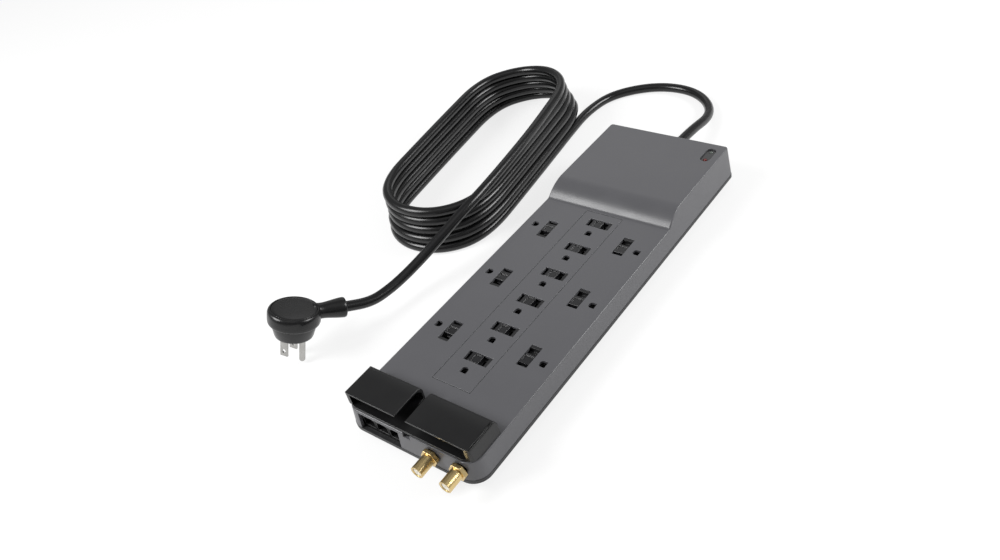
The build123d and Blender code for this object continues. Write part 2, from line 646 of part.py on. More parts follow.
with BuildPart() as jack_contacts:
    for jack_x in JACK_X:
        for wire in range(4):
            with BuildSketch(Plane.YZ.offset(jack_x - 1.75 + wire * 1.02)):
                with BuildLine():
                    Polyline(
                        (JACK_FRONT + 12.6, 14.0),
                        (JACK_FRONT + 12.6, 14.5),
                        (JACK_FRONT + 4.0, 16.4),
                        (JACK_FRONT + 4.0, 15.9),
                        close=True,
                    )
                make_face()
            extrude(amount=0.4)
jack_contacts.part.label = "jack_contacts"
export_step(jack_contacts.part, "parts/jack_contacts.step")

BARREL_TIP = -195.5
BARREL_EXPOSED = 12.0
NECK_RADIUS = 4.5
with BuildPart() as coax_ports:
    with BuildSketch(Plane.XZ.offset(-BARREL_TIP)):
        with Locations((COAX_X[0], COAX_Z), (COAX_X[1], COAX_Z)):
            Circle(BARREL_DIAMETER / 2)
            Circle(3.3, mode=Mode.SUBTRACT)
    extrude(amount=-BARREL_EXPOSED)
    with BuildSketch(Plane.XZ.offset(-BARREL_TIP - BARREL_EXPOSED)):
        with Locations((COAX_X[0], COAX_Z), (COAX_X[1], COAX_Z)):
            Circle(NECK_RADIUS)
            Circle(3.3, mode=Mode.SUBTRACT)
    extrude(amount=BARREL_EXPOSED - 27.0)
    with BuildSketch(Plane.XZ.offset(175.4)):
        with Locations((COAX_X[0], COAX_Z), (COAX_X[1], COAX_Z)):
            Rectangle(11.0, 9.0)
            Circle(3.3, mode=Mode.SUBTRACT)
    extrude(amount=-3.0)
coax_ports.part.label = "coax_ports"
export_step(coax_ports.part, "parts/coax_ports.step")

NUT_FACE = 180.45
with BuildPart() as coax_nuts:
    with BuildSketch(Plane.XZ.offset(NUT_FACE)):
        with Locations((COAX_X[0], COAX_Z), (COAX_X[1], COAX_Z)):
            RegularPolygon(6.0, 6, major_radius=False)
            Circle(NECK_RADIUS, mode=Mode.SUBTRACT)
    extrude(amount=3.0)
coax_nuts.part.label = "coax_nuts"
export_step(coax_nuts.part, "parts/coax_nuts.step")

with BuildPart() as coax_insulators:
    with BuildSketch(Plane.XZ.offset(-BARREL_TIP - 0.6)):
        with Locations((COAX_X[0], COAX_Z), (COAX_X[1], COAX_Z)):
            Circle(3.3)
            Circle(0.6, mode=Mode.SUBTRACT)
    extrude(amount=-24.0)
coax_insulators.part.label = "coax_insulators"
export_step(coax_insulators.part, "parts/coax_insulators.step")

# Snap-on cable organiser over the front of the deck.
CLIP_TOP = 41.0
CLIP_REAR = -148.4
CLIP_FRONT = -176.9
CLIP_PLATE = 2.0
CLIP_WALL = 1.8
CLIP_HALF_LOW = 56.4
CLIP_HALF_HIGH = 54.2
CLIP_ROUND = 2.6
CLIP_CORNER = 5.0
CLIP_INSIDE_HALF = 52.6
CLIP_MOUTH_HALF = 49.6
CLIP_CREASE = -162.0
CLIP_CREASE_DROP = 0.5
CLIP_GAP_DEPTH = 7.0
CLIP_GAP_LEFT = -7.8
CLIP_GAP_RIGHT = 1.6
CLIP_LENGTH = CLIP_REAR - CLIP_FRONT

# Hollow under the hoods: straight walls, drawn in towards the mouth at the rounded corners.
CLIP_HOLLOW = extrude(
    Plane.YZ
    * Polygon(
        (CLIP_FRONT - 5, DECK_TOP + CLIP_PLATE),
        (CLIP_FRONT - 5, CLIP_TOP - CLIP_WALL),
        (CLIP_REAR - 5.0, CLIP_TOP - CLIP_WALL),
        (CLIP_REAR - CLIP_WALL, CLIP_TOP - 5.0),
        (CLIP_REAR - CLIP_WALL, DECK_TOP + CLIP_PLATE),
        align=None,
    ),
    amount=CLIP_HALF_LOW,
    both=True,
) & extrude(
    Plane.XY.offset(DECK_TOP)
    * Polygon(
        (-CLIP_INSIDE_HALF, CLIP_REAR),
        (-CLIP_INSIDE_HALF, CLIP_FRONT + CLIP_CORNER),
        (-CLIP_MOUTH_HALF, CLIP_FRONT),
        (-CLIP_MOUTH_HALF, CLIP_FRONT - 6),
        (CLIP_MOUTH_HALF, CLIP_FRONT - 6),
        (CLIP_MOUTH_HALF, CLIP_FRONT),
        (CLIP_INSIDE_HALF, CLIP_FRONT + CLIP_CORNER),
        (CLIP_INSIDE_HALF, CLIP_REAR),
        align=None,
    ),
    amount=CLIP_TOP - DECK_TOP,
)
CLIP_SECTION = fillet(
    Polygon(
        (-CLIP_HALF_LOW, DECK_TOP - 5),
        (-CLIP_HALF_HIGH, CLIP_TOP),
        (CLIP_HALF_HIGH, CLIP_TOP),
        (CLIP_HALF_LOW, DECK_TOP - 5),
        align=None,
    ).vertices().group_by(Axis.Y)[-1],
    CLIP_ROUND,
)

with BuildPart() as cord_clip:
    with BuildSketch(Plane.XY.offset(DECK_TOP)):
        add(DECK_OUTLINE)
        with Locations((0, CLIP_REAR + 200)):
            Rectangle(BODY_WIDTH, 400, mode=Mode.SUBTRACT)
    extrude(amount=CLIP_PLATE)
    with BuildSketch(Plane.YZ.offset(-CLIP_HALF_LOW)):
        with BuildLine():
            Polyline(
                (CLIP_FRONT, DECK_TOP + CLIP_PLATE - 0.5),
                (CLIP_FRONT, CLIP_TOP - CLIP_CREASE_DROP),
                (CLIP_CREASE, CLIP_TOP),
                (CLIP_REAR - 4.0, CLIP_TOP),
                (CLIP_REAR - 1.2, CLIP_TOP - 1.2),
                (CLIP_REAR, CLIP_TOP - 4.0),
                (CLIP_REAR, DECK_TOP + CLIP_PLATE - 0.5),
                close=True,
            )
        make_face()
    extrude(amount=2 * CLIP_HALF_LOW)
    # The end walls lean in, round over into the top and follow the body's corners.
    with BuildSketch(Plane.XZ.offset(-CLIP_REAR - 5)):
        add(CLIP_SECTION)
    extrude(amount=CLIP_LENGTH + 20, mode=Mode.INTERSECT)
    with BuildSketch(Plane.XY.offset(DECK_TOP + CLIP_PLATE - 0.5)):
        with Locations((-CLIP_HALF_LOW, CLIP_FRONT), (CLIP_HALF_LOW, CLIP_FRONT)):
            Rectangle(2 * CLIP_CORNER, 2 * CLIP_CORNER)
        with Locations((-CLIP_HALF_LOW + CLIP_CORNER, CLIP_FRONT + CLIP_CORNER)):
            Circle(CLIP_CORNER, mode=Mode.SUBTRACT)
        with Locations((CLIP_HALF_LOW - CLIP_CORNER, CLIP_FRONT + CLIP_CORNER)):
            Circle(CLIP_CORNER, mode=Mode.SUBTRACT)
    extrude(amount=20, mode=Mode.SUBTRACT)
    add(CLIP_HOLLOW, mode=Mode.SUBTRACT)
    with BuildSketch(Plane.XY.offset(DECK_TOP + CLIP_PLATE)):
        with Locations(((CLIP_GAP_LEFT + CLIP_GAP_RIGHT) / 2, (CLIP_REAR + CLIP_FRONT) / 2)):
            Rectangle(CLIP_GAP_RIGHT - CLIP_GAP_LEFT, CLIP_LENGTH + 8)
    extrude(amount=20, mode=Mode.SUBTRACT)
    # The plate is cut back at the rear of the gap, where the deck shows.
    with BuildSketch(Plane.XY.offset(DECK_TOP - 1)):
        with Locations(((CLIP_GAP_LEFT + CLIP_GAP_RIGHT) / 2, CLIP_REAR)):
            Rectangle(CLIP_GAP_RIGHT - CLIP_GAP_LEFT, 2 * CLIP_GAP_DEPTH)
    extrude(amount=10, mode=Mode.SUBTRACT)
    with BuildSketch(Plane.XY.offset(DECK_TOP)):
        with Locations((-32, -156.0), (32, -156.0)):
            Circle(1.8)
    extrude(amount=-3.6)
cord_clip.part.label = "cord_clip"
export_step(cord_clip.part, "parts/cord_clip.step")

RELIEF_END = 195.5
with BuildPart() as strain_relief:
    with BuildSketch(Plane.XZ.offset(-173.5)):
        with Locations((0, RELIEF_Z)):
            Circle(7.8)
    extrude(amount=-2.6)
    with BuildSketch(Plane.XZ.offset(-176.0)):
        with Locations((0, RELIEF_Z)):
            Circle(6.3)
    extrude(amount=-6.0)
    with BuildSketch(Plane.XZ.offset(-180.9)):
        with Locations((0, RELIEF_Z)):
            Circle(7.6)
    extrude(amount=-1.8)
    with BuildSketch(Plane.XZ.offset(-182.7)):
        with Locations((0, RELIEF_Z)):
            Circle(6.8)
    with BuildSketch(Plane.XZ.offset(-RELIEF_END)):
        with Locations((0, RELIEF_Z)):
            Circle(5.6)
    loft()
    with BuildSketch(Plane.XZ.offset(-170)):
        with Locations((0, RELIEF_Z)):
            Circle(RELIEF_BORE / 2)
    extrude(amount=-40.0, mode=Mode.SUBTRACT)
strain_relief.part.label = "strain_relief"
export_step(strain_relief.part, "parts/strain_relief.step")

with BuildPart() as internal_wires:
    for wire_x in (-2.6, 0.0, 2.6):
        with BuildSketch(Plane.XZ.offset(-153)):
            with Locations((wire_x, RELIEF_Z)):
                Circle(1.1)
        extrude(amount=-19.5)
internal_wires.part.label = "internal_wires"
export_step(internal_wires.part, "parts/internal_wires.step")


def tube_route(points):
    """Straight runs joined by tangent arcs, with the radius at each corner."""
    radii = []
    for before, corner, after in zip(points, points[1:], points[2:]):
        first = Vector(*corner) - Vector(*before)
        second = Vector(*after) - Vector(*corner)
        turn = math.radians(first.get_angle(second))
        radii.append(0.45 * min(first.length, second.length) / math.tan(turn / 2))
    print("corner radii", [round(radius, 1) for radius in radii])
    return radii


EXIT_POINTS = [
    (0.0, 172.6, 19.0),
    (0.0, 211.0, 19.0),
    (-3.2, 270.0, 4.4),
    (-34.2, 300.5, 4.4),
    (-77.2, 300.5, 4.4),
    (-114.0, 272.0, 4.4),
    (-122.0, 235.0, 4.4),
    (-118.0, 196.0, 4.4),
]
PLUG_POINTS = [
    (-130.58, -103.08, 25.99),
    (-121.5, -84.5, 18.3),
    (-121.5, -45.0, 17.5),
    (-104.0, -4.0, 39.0),
    (-97.0, 24.0, 48.0),
    (-100.0, 70.0, 48.0),
    (-106.5, 118.0, 48.0),
    (-112.5, 151.0, 47.7),
]

EXIT_RADII = tube_route(EXIT_POINTS)
PLUG_RADII = tube_route(PLUG_POINTS)

with BuildPart() as power_cord_exit:
    with BuildLine() as exit_line:
        FilletPolyline(*EXIT_POINTS, radius=EXIT_RADII)
    with BuildSketch(Plane(exit_line.line @ 0, z_dir=exit_line.line % 0)):
        Circle(CORD_DIAMETER / 2)
    sweep()
power_cord_exit.part.label = "power_cord_exit"
export_step(power_cord_exit.part, "parts/power_cord_exit.step")
exit_length = sum(edge.length for edge in exit_line.edges())
print("exit tube", round(power_cord_exit.part.volume), "length", round(exit_length, 1))
print("section x length", round(math.pi * CORD_DIAMETER**2 / 4 * exit_length))

with BuildPart() as power_cord_end:
    with BuildLine() as plug_line:
        FilletPolyline(*PLUG_POINTS, radius=PLUG_RADII)
    with BuildSketch(Plane(plug_line.line @ 0, z_dir=plug_line.line % 0)):
        Circle(CORD_DIAMETER / 2)
    sweep()
power_cord_end.part.label = "power_cord_end"
export_step(power_cord_end.part, "parts/power_cord_end.step")
plug_length = sum(edge.length for edge in plug_line.edges())
print("plug tube", round(power_cord_end.part.volume), "length", round(plug_length, 1))
print("section x length", round(math.pi * CORD_DIAMETER**2 / 4 * plug_length))

# The coil is a pile of five turns, a little longer at the floor than at the top.
COIL_LOW = (-160.3, 123.0)
COIL_HIGH = (-161.2, 118.4)
COIL_TILT = 7.3
LOW_HALF_WIDTH = 50.5
LOW_HALF_LENGTH = 125.0
HIGH_HALF_WIDTH = 49.4
HIGH_HALF_LENGTH = 116.0


def coil_solid(grow):
    """Loft of the pile's stadium outline, moved outwards by grow."""
    low = SlotOverall(2 * (LOW_HALF_LENGTH + grow), 2 * (LOW_HALF_WIDTH + grow), rotation=90 + COIL_TILT)
    high = SlotOverall(2 * (HIGH_HALF_LENGTH + grow), 2 * (HIGH_HALF_WIDTH + grow), rotation=90 + COIL_TILT)
    return loft([Pos(*COIL_LOW, 0) * low, Pos(*COIL_HIGH, COIL_HEIGHT) * high], ruled=True)


COIL_OUTSIDE = coil_solid(CORD_DIAMETER / 2)
COIL_HOLLOW = coil_solid(-CORD_DIAMETER / 2)

with BuildPart() as power_cord_coil:
    add(COIL_OUTSIDE)
    add(COIL_HOLLOW, mode=Mode.SUBTRACT)
power_cord_coil.part.label = "power_cord_coil"
export_step(power_cord_coil.part, "parts/power_cord_coil.step")

# Plug: a fixed head with the cord boot and a prong base that turns under it.
AXIS = Vector(*PLUG_AXIS).normalized()
BOOT = Vector(*PLUG_BOOT_DIRECTION)
BOOT = (BOOT - AXIS * BOOT.dot(AXIS)).normalized()
HEAD_PLANE = Plane(origin=PLUG_AT, x_dir=BOOT, z_dir=AXIS)
PRONG_DIRECTION = BOOT.rotate(Axis((0, 0, 0), AXIS), -PRONG_TURN)
BASE_PLANE = Plane(origin=PLUG_AT, x_dir=PRONG_DIRECTION, z_dir=AXIS)
BASE_HEIGHT = 11.2
HEAD_LOW = 11.6
HEAD_TOP = 23.0
BOOT_START = 18.5
BOOT_FLARE = 26.0
BOOT_END = 40.0
BOOT_Z = 17.0
BOOT_NECK_RADIUS = 5.2
BOOT_RADIUS = 8.0
PIN_LENGTH = 19.6
GROUND_PIN_X = 7.4
BLADE_X = GROUND_PIN_X - GROUND_OFFSET

print("boot end", HEAD_PLANE.from_local_coords((BOOT_END, 0, BOOT_Z)), "direction", BOOT)



def boot_plane(distance):
    """Plane across the boot, at a distance from the plug's axis."""
    return Plane(origin=HEAD_PLANE.from_local_coords((distance, 0, BOOT_Z)), x_dir=AXIS, z_dir=BOOT)


with BuildPart() as plug_head:
    with BuildSketch(HEAD_PLANE.offset(HEAD_LOW)):
        Circle(PLUG_DIAMETER / 2)
    extrude(amount=7.4)
    with BuildSketch(HEAD_PLANE.offset(HEAD_LOW + 7.4)):
        Circle(PLUG_DIAMETER / 2)
    with BuildSketch(HEAD_PLANE.offset(HEAD_TOP)):
        Circle(PLUG_DIAMETER / 2 - 2.5)
    loft()
    with BuildSketch(boot_plane(0)):
        Circle(BOOT_NECK_RADIUS)
    extrude(amount=BOOT_FLARE)
    with BuildSketch(boot_plane(BOOT_START)):
        Circle(BOOT_NECK_RADIUS)
    with BuildSketch(boot_plane(BOOT_FLARE)):
        Circle(BOOT_RADIUS)
    loft()
    with BuildSketch(boot_plane(BOOT_FLARE)):
        Circle(BOOT_RADIUS)
    extrude(amount=BOOT_END - BOOT_FLARE)
    # Seat of the cap and hollow for the contact rings.
    with BuildSketch(HEAD_PLANE.offset(HEAD_TOP - 1.0)):
        Circle(15.2)
    extrude(amount=3.0, mode=Mode.SUBTRACT)
    with BuildSketch(HEAD_PLANE.offset(HEAD_LOW - 1.0)):
        Circle(12.2)
    extrude(amount=5.0, mode=Mode.SUBTRACT)
plug_head.part.label = "plug_head"
export_step(plug_head.part, "parts/plug_head.step")

with BuildPart() as plug_cap:
    with BuildSketch(HEAD_PLANE.offset(HEAD_TOP - 1.0)):
        Circle(15.0)
    extrude(amount=1.4)
plug_cap.part.label = "plug_cap"
export_step(plug_cap.part, "parts/plug_cap.step")

with BuildPart() as plug_base:
    with BuildSketch(BASE_PLANE):
        Circle(15.0)
    with BuildSketch(BASE_PLANE.offset(BASE_HEIGHT)):
        Circle(18.0)
    loft()
    with BuildSketch(BASE_PLANE.offset(BASE_HEIGHT)):
        Circle(11.8)
    extrude(amount=1.4)
    with BuildSketch(BASE_PLANE.offset(4.0)):
        with Locations((BLADE_X, -BLADE_SPACING / 2), (BLADE_X, BLADE_SPACING / 2)):
            Rectangle(6.35, 1.5)
        with Locations((GROUND_PIN_X, 0)):
            Circle(2.375)
    extrude(amount=-6.0, mode=Mode.SUBTRACT)
plug_base.part.label = "plug_base"
export_step(plug_base.part, "parts/plug_base.step")

with BuildPart() as plug_blades:
    with BuildSketch(BASE_PLANE.offset(4.0)):
        with Locations((BLADE_X, -BLADE_SPACING / 2), (BLADE_X, BLADE_SPACING / 2)):
            Rectangle(6.35, 1.5)
    extrude(amount=-21.5)
    hole_plane = Plane(
        origin=BASE_PLANE.from_local_coords((BLADE_X, 0, -13.2)),
        x_dir=PRONG_DIRECTION,
        z_dir=AXIS.cross(PRONG_DIRECTION),
    )
    with BuildSketch(hole_plane):
        Circle(1.6)
    extrude(amount=12.0, both=True, mode=Mode.SUBTRACT)
plug_blades.part.label = "plug_blades"
export_step(plug_blades.part, "parts/plug_blades.step")

with BuildPart() as plug_ground_pin:
    with BuildSketch(BASE_PLANE.offset(4.0)):
        with Locations((GROUND_PIN_X, 0)):
            Circle(2.375)
    extrude(amount=-PIN_LENGTH - 4.0)
    tip = BASE_PLANE.from_local_coords((GROUND_PIN_X, 0, -PIN_LENGTH))
    with Locations(Plane(origin=tip, z_dir=AXIS).location):
        Sphere(2.375)
plug_ground_pin.part.label = "plug_ground_pin"
export_step(plug_ground_pin.part, "parts/plug_ground_pin.step")

with BuildPart() as plug_contact_rings:
    with BuildSketch(HEAD_PLANE.offset(HEAD_LOW + 2.0)):
        Circle(11.0)
        Circle(9.4, mode=Mode.SUBTRACT)
        Circle(7.6)
        Circle(6.0, mode=Mode.SUBTRACT)
        Circle(3.4)
    extrude(amount=2.0)
plug_contact_rings.part.label = "plug_contact_rings"
export_step(plug_contact_rings.part, "parts/plug_contact_rings.step")
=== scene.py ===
import math

import bmesh
import bpy
import numpy as np
from mathutils import Matrix


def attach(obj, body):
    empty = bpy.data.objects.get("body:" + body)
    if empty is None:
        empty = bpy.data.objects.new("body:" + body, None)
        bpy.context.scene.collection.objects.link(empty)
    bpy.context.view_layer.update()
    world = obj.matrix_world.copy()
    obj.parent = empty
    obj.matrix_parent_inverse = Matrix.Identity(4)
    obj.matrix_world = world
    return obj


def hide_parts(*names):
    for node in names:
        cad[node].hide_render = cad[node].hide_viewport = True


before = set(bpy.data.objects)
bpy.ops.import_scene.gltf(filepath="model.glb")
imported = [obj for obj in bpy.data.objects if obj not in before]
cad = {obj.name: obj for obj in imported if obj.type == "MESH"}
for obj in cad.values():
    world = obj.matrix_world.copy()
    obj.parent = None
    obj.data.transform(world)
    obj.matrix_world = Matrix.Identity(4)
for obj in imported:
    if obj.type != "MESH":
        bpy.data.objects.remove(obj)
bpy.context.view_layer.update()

scene = bpy.context.scene
scene.view_settings.view_transform = "Standard"

# Camera: stands in front of the strip's right front corner, a little under half a metre up, and looks down
# the length of the deck. The columns are the camera's right, up and backward directions, then its place.
camera = bpy.data.objects.new("camera", bpy.data.cameras.new("camera"))
camera.data.sensor_width = 36.0
camera.data.lens = 32.2
camera.data.clip_start = 0.01
camera.data.clip_end = 40.0
camera.matrix_world = Matrix(
    (
        (0.7927, -0.2682, 0.5476, 0.3392),
        (0.5797, 0.6099, -0.5405, -0.3956),
        (-0.1890, 0.7459, 0.6388, 0.4619),
        (0.0, 0.0, 0.0, 1.0),
    )
)
scene.collection.objects.link(camera)
scene.camera = camera


def add_node(tree, kind, inputs=None, **settings):
    """Adds one node: settings are its properties, inputs its socket values or the sockets linked to them."""
    node = tree.nodes.new(kind)
    for key, value in settings.items():
        setattr(node, key, value)
    for key, value in (inputs or {}).items():
        if isinstance(value, bpy.types.NodeSocket):
            tree.links.new(value, node.inputs[key])
        else:
            node.inputs[key].default_value = value
    return node


def linear(code):
    """Linear red, green, blue and alpha of an sRGB hex colour, by the sRGB curve."""
    parts = np.array([int(code[i : i + 2], 16) for i in (1, 3, 5)]) / 255
    curve = np.where(parts <= 0.04045, parts / 12.92, ((parts + 0.055) / 1.055) ** 2.4)
    return (*curve.tolist(), 1.0)


# Studio: a white paper sweep that stays white to the eye and to glossy parts, and a soft white room.
# The floor keeps a faint share of its diffuse shading, so the object's own shadow lies on it.
paper = bpy.data.materials.new("white_paper_sweep")
paper.use_nodes = True
tree = paper.node_tree
tree.nodes.clear()
ray = add_node(tree, "ShaderNodeLightPath")
seen = add_node(
    tree,
    "ShaderNodeMath",
    {0: ray.outputs["Is Camera Ray"], 1: ray.outputs["Is Glossy Ray"]},
    operation="MAXIMUM",
)
seen = add_node(
    tree,
    "ShaderNodeMath",
    {0: seen.outputs[0], 1: ray.outputs["Is Transmission Ray"]},
    operation="MAXIMUM",
)
share = add_node(tree, "ShaderNodeMath", {0: seen.outputs[0], 1: 0.72}, operation="MULTIPLY")
matt = add_node(tree, "ShaderNodeBsdfDiffuse", {"Color": linear("#f4f4f4")})
glow = add_node(tree, "ShaderNodeEmission", {"Color": (1, 1, 1, 1), "Strength": 1.06})
blend = add_node(tree, "ShaderNodeMixShader", {0: share.outputs[0], 1: matt.outputs[0], 2: glow.outputs[0]})
add_node(tree, "ShaderNodeOutputMaterial", {"Surface": blend.outputs[0]})
sweep = bpy.data.meshes.new("paper_sweep")
sweep.from_pydata([(-6, -6, 0), (6, -6, 0), (6, 6, 0), (-6, 6, 0)], [], [(0, 1, 2, 3)])
sweep.materials.append(paper)
floor = bpy.data.objects.new("paper_sweep", sweep)
scene.collection.objects.link(floor)

world = bpy.data.worlds.new("soft_room")
scene.world = world
world.use_nodes = True
tree = world.node_tree
tree.nodes.clear()
ray = add_node(tree, "ShaderNodeLightPath")
room = add_node(tree, "ShaderNodeBackground", {"Color": (1, 1, 1, 1), "Strength": 0.30})
white = add_node(tree, "ShaderNodeBackground", {"Color": (1, 1, 1, 1), "Strength": 1.0})
both = add_node(
    tree,
    "ShaderNodeMixShader",
    {0: ray.outputs["Is Camera Ray"], 1: room.outputs[0], 2: white.outputs[0]},
)
add_node(tree, "ShaderNodeOutputWorld", {"Surface": both.outputs[0]})


def softbox(name, place, aim, size, power):
    """Rectangular area lamp at place, turned to face aim. Its power is in watts."""
    lamp = bpy.data.lights.new(name, "AREA")
    lamp.shape = "RECTANGLE"
    lamp.size, lamp.size_y = size
    lamp.energy = power
    stand = bpy.data.objects.new(name, lamp)
    back = np.array(place, float) - np.array(aim, float)
    back /= np.linalg.norm(back)
    side = np.cross((0, 0, 1) if abs(back[2]) < 0.99 else (0, 1, 0), back)
    side /= np.linalg.norm(side)
    turn = Matrix(np.stack([side, np.cross(back, side), back], 1).tolist()).to_4x4()
    stand.matrix_world = Matrix.Translation(place) @ turn
    scene.collection.objects.link(stand)


softbox("front_left_softbox", (-0.74, -0.80, 0.98), (0, 0, 0.03), (0.62, 0.62), 17)
softbox("back_right_softbox", (1.0, 0.86, 0.78), (0, 0, 0.03), (0.8, 0.5), 16)
softbox("back_left_softbox", (-0.75, 1.25, 0.95), (0, 0.1, 0.03), (0.9, 0.6), 1.0)
softbox("overhead_softbox", (0.3, -0.2, 1.6), (0, 0, 0), (1.2, 1.2), 2)


def moulded(name, code, roughness, ior, grain, depth, shade=0.06):
    """Moulded plastic or rubber: a colour that varies slightly, a fine mould texture of the given grain size
    and depth in millimetres, and a little polish spread by a broader noise."""
    material = bpy.data.materials.new(name)
    material.use_nodes = True
    tree = material.node_tree
    shader = tree.nodes["Principled BSDF"]
    where = add_node(tree, "ShaderNodeTexCoord").outputs["Object"]
    fine = add_node(
        tree,
        "ShaderNodeTexNoise",
        {"Vector": where, "Scale": 1000 / grain, "Detail": 3.0, "Roughness": 0.6},
    )
    broad = add_node(
        tree,
        "ShaderNodeTexNoise",
        {"Vector": where, "Scale": 38.0, "Detail": 4.0, "Roughness": 0.55},
    )
    mixed = add_node(
        tree,
        "ShaderNodeMath",
        {0: fine.outputs["Fac"], 1: broad.outputs["Fac"]},
        operation="ADD",
    )
    spread = {"From Min": 0.6, "From Max": 1.4, "To Min": 1 - shade, "To Max": 1 + shade}
    tone = add_node(tree, "ShaderNodeMapRange", {"Value": mixed.outputs[0], **spread})
    base = add_node(
        tree,
        "ShaderNodeVectorMath",
        {0: linear(code)[:3], 1: tone.outputs[0]},
        operation="MULTIPLY",
    )
    tree.links.new(base.outputs[0], shader.inputs["Base Color"])
    spread = {"From Min": 0.3, "From Max": 0.7, "To Min": roughness - 0.04, "To Max": roughness + 0.04}
    polish = add_node(tree, "ShaderNodeMapRange", {"Value": broad.outputs["Fac"], **spread})
    tree.links.new(polish.outputs[0], shader.inputs["Roughness"])
    bump = add_node(
        tree,
        "ShaderNodeBump",
        {"Height": fine.outputs["Fac"], "Strength": 1.0, "Distance": depth / 1000},
    )
    tree.links.new(bump.outputs[0], shader.inputs["Normal"])
    shader.inputs["IOR"].default_value = ior
    return material


# Supply cord: three copper cores in one round black PVC jacket, extruded, 8.6 mm thick and about 3.6 m long.
# It leaves the rear wall, drops to the table, swings round behind and is wound five times into a long pile.
jacket = moulded("black_pvc_jacket", "#101011", 0.25, 1.46, 2.5, 0.002, shade=0.06)
CORD_THICK = 0.0086
CORD_PITCH = 0.0087
exit_run = [
    (0.0, 0.1726, 0.019),
    (0.0, 0.211, 0.019),
    (-0.0032, 0.270, 0.0044),
    (-0.0342, 0.3005, 0.0044),
    (-0.0772, 0.3005, 0.0044),
    (-0.114, 0.272, 0.0044),
    (-0.122, 0.235, 0.0044),
    (-0.118, 0.196, 0.0044),
]
plug_run = [
    (-0.1125, 0.151, 0.0477),
    (-0.1065, 0.118, 0.048),
    (-0.1000, 0.070, 0.048),
    (-0.0968, 0.0375, 0.0475),
    (-0.0985, 0.0150, 0.0445),
    (-0.1022, -0.0050, 0.0380),
    (-0.1070, -0.0200, 0.0310),
    (-0.1120, -0.0345, 0.0245),
    (-0.1158, -0.0500, 0.0200),
    (-0.1185, -0.0670, 0.0182),
    (-0.1215, -0.0850, 0.0192),
    (-0.13058, -0.10308, 0.02599),
    (-0.1350, -0.1123, 0.0299),
]


def coil_turn(layer):
    """Control points of one turn, clockwise from above: right side, front bend, left side, rear bend, where
    it climbs one pitch on to its own start. The pile leans, so each layer's stadium comes from its height."""
    side = np.array([0.024, -0.024])
    bend = np.radians([22.5, 67.5, 112.5, 157.5])
    climb = np.array([0, 0, 0, 0, 0, 0, 0, 0, 0, 0.1, 0.72, 1.0])
    height = 0.0044 + CORD_PITCH * (layer + climb)
    share = height / 0.0435
    half_width = 0.0506 - 0.0014 * share + 0.0005 * math.sin(2.1 * layer)
    half_length = 0.1262 - 0.0114 * share + 0.0008 * math.sin(1.7 * layer + 1.0)
    straight = half_length - half_width
    along = np.concatenate([side, -np.sin(bend), -side, np.sin(bend[::-1])])
    across = np.concatenate([[1.012, 1.012], np.cos(bend), [-1.012, -1.012], np.cos(bend[::-1])])
    round_part = np.array([0, 0, 1, 1, 1, 1, 0, 0, 1, 1, 1, 1])
    reach = half_width / math.cos(math.radians(22.5))
    along = np.where(round_part, np.sign(along) * straight + reach * along, along)
    across = np.where(round_part, reach, half_width) * across
    tilt = np.radians(6.8 + 1.0 * share)
    x = -0.1602 - 0.0011 * share + across * np.cos(tilt) - along * np.sin(tilt)
    y = 0.1236 - 0.0058 * share + across * np.sin(tilt) + along * np.cos(tilt)
    return np.stack([x, y, height], 1).tolist()


route = list(exit_run)
for layer in range(5):
    route += coil_turn(layer)
route += plug_run
line = bpy.data.curves.new("power_cord", "CURVE")
line.dimensions = "3D"
line.bevel_depth = CORD_THICK / 2
line.bevel_resolution = 6
line.resolution_u = 10
line.use_fill_caps = True
spline = line.splines.new("NURBS")
spline.points.add(len(route) - 1)
spline.points.foreach_set("co", [value for point in route for value in (*point, 1.0)])
spline.order_u = 3
spline.use_endpoint_u = True
line.materials.append(jacket)
power_cord = bpy.data.objects.new("power_cord", line)
scene.collection.objects.link(power_cord)
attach(power_cord, "strip")
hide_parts("power_cord_exit", "power_cord_coil", "power_cord_end")


def new_piece(name, points, faces, material, body):
    """A smooth mesh piece from arrays of points and faces, its doubled points merged, riding on a body."""
    mesh = bpy.data.meshes.new(name)
    mesh.from_pydata(points.tolist(), [], faces.tolist())
    work = bmesh.new()
    work.from_mesh(mesh)
    bmesh.ops.remove_doubles(work, verts=work.verts, dist=1e-7)
    bmesh.ops.dissolve_degenerate(work, edges=work.edges, dist=1e-8)
    bmesh.ops.recalc_face_normals(work, faces=work.faces)
    work.to_mesh(mesh)
    work.free()
    mesh.polygons.foreach_set("use_smooth", [True] * len(mesh.polygons))
    mesh.materials.append(material)
    piece = bpy.data.objects.new(name, mesh)
    scene.collection.objects.link(piece)
    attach(piece, body)
    return piece


def lathe(profile, steps, origin, axis, start):
    """Points and faces of a surface of revolution: each (radius, height) of the profile goes round the axis
    through origin, beginning towards start. The profile is a closed loop, or ends on the axis."""
    axis = np.array(axis, float) / np.linalg.norm(axis)
    start = np.array(start, float) - axis * np.dot(start, axis)
    start /= np.linalg.norm(start)
    third = np.cross(axis, start)
    profile = np.array(profile, float)
    angle = np.linspace(0, 2 * math.pi, steps, endpoint=False)
    spoke = np.outer(np.cos(angle), start) + np.outer(np.sin(angle), third)
    points = np.array(origin, float) + profile[:, None, 1:] * axis + profile[:, None, :1] * spoke[None]
    rows = len(profile)
    i, j = np.meshgrid(np.arange(rows - 1), np.arange(steps), indexing="ij")
    k = (j + 1) % steps
    faces = np.stack([i * steps + j, i * steps + k, (i + 1) * steps + k, (i + 1) * steps + j], -1)
    return points.reshape(-1, 3), faces.reshape(-1, 4)


